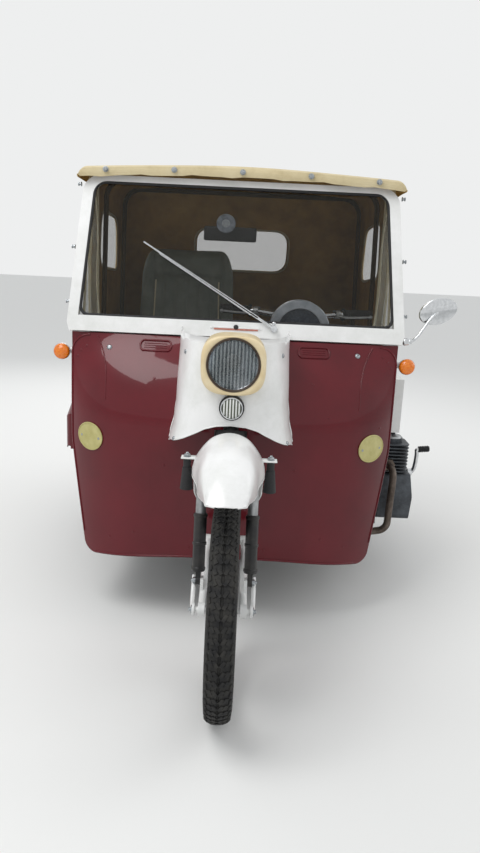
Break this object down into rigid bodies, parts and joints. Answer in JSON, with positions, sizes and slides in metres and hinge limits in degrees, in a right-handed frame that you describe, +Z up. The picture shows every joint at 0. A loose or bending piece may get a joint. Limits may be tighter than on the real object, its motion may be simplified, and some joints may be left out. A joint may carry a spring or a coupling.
{
  "type": "auto rickshaw",
  "caption": "Light two-seat three-wheeler with a moped-type steered front wheel, curved leg shield, framed windscreen, fabric hood and an engine hung beside the rear wheel.",
  "frame": {"origin": "the point on the ground under the front axle, on the vehicle's centre plane", "axes": "+X to the vehicle's left, +Y rearward along its length, +Z up"},
  "size_m": [1.397, 2.1788, 1.456],
  "materials": {
    "burgundy_paint": "gloss",
    "white_paint": "gloss",
    "cream_paint": "satin",
    "black_paint": "satin",
    "tyre_rubber": "matt",
    "black_rubber": "matt",
    "bright_steel": "satin",
    "chrome": "polished",
    "engine_alloy": "matt",
    "exhaust_steel": "dull",
    "hood_fabric": "matt",
    "seat_cloth": "matt",
    "clear_film": "gloss",
    "screen_glass": "gloss",
    "lamp_glass": "ribbed",
    "amber_lens": "gloss",
    "red_lens": "gloss",
    "mirror_shell": "polished"
  },
  "bodies": {
    "body": {"blanking_covers": "cream_paint", "cabin_mirror": "mirror_shell", "chassis_frame": "black_paint", "clear_windows": "clear_film", "cowl": "burgundy_paint", "door_mirror": "mirror_shell", "driver_seat": "seat_cloth", "engine": "engine_alloy", "engine_panel": "white_paint", "exhaust": "exhaust_steel", "floor_pan": "black_paint", "front_indicators": "amber_lens", "front_shield": "burgundy_paint", "headlamp": "lamp_glass", "headlamp_bezel": "cream_paint", "hood_bows": "bright_steel", "hood_canopy": "hood_fabric", "instrument_pod": "chrome", "kick_starter": "bright_steel", "nose_cover": "white_paint", "parking_lamp": "lamp_glass", "passenger_seat": "seat_cloth", "plate_holder": "white_paint", "rear_body": "burgundy_paint", "rear_suspension": "black_paint", "rear_wing_left": "burgundy_paint", "rear_wing_right": "burgundy_paint", "tail_lamps": "red_lens", "windscreen_frame": "white_paint", "windscreen_glass": "screen_glass", "wiper": "bright_steel"},
    "fork": {"fork_frame": "black_paint", "front_mudguard": "white_paint", "strut_sleeves": "bright_steel", "strut_tubes": "black_paint", "front_swing_arm": "white_paint", "rubber_buffers": "black_rubber"},
    "front_wheel": {"front_tyre": "tyre_rubber", "front_rim": "bright_steel"},
    "rear_right_wheel": {"rear_right_tyre": "tyre_rubber", "rear_right_rim": "bright_steel"},
    "rear_left_wheel": {"rear_left_tyre": "tyre_rubber", "rear_left_rim": "bright_steel"},
    "handlebar": {"handlebar": "chrome", "grips": "black_rubber"},
    "steering_link": {"steering_link": "bright_steel"}
  },
  "joints": [
    {"name": "fork_steer", "type": "hinge", "parent": "body", "child": "fork", "pos_m": [0, 0.29055, 0.77], "axis": [0, 0.4384, 0.8988], "range_deg": [-35, 35]},
    {"name": "front_wheel_spin", "type": "hinge", "parent": "fork", "child": "front_wheel", "pos_m": [0, 0, 0.275], "axis": [1, 0, 0], "continuous": true},
    {"name": "rear_right_wheel_spin", "type": "hinge", "parent": "body", "child": "rear_right_wheel", "pos_m": [-0.52, 1.45, 0.275], "axis": [1, 0, 0], "continuous": true},
    {"name": "rear_left_wheel_spin", "type": "hinge", "parent": "body", "child": "rear_left_wheel", "pos_m": [0.52, 1.45, 0.275], "axis": [1, 0, 0], "continuous": true},
    {"name": "handlebar_turn", "type": "hinge", "parent": "body", "child": "handlebar", "pos_m": [0.208, 0.72196, 0.8], "axis": [0, 0.4384, 0.8988], "range_deg": [-35, 35]},
    {"name": "link_swing", "type": "hinge", "parent": "handlebar", "child": "steering_link", "pos_m": [0.1468, 0.79348, 0.8691], "axis": [0, 0.4384, 0.8988], "range_deg": [-35, 35]}
  ],
  "couplings": [
    {"joint": "handlebar_turn", "follows": "fork_steer", "ratio": 1},
    {"joint": "link_swing", "follows": "fork_steer", "ratio": -1}
  ]
}
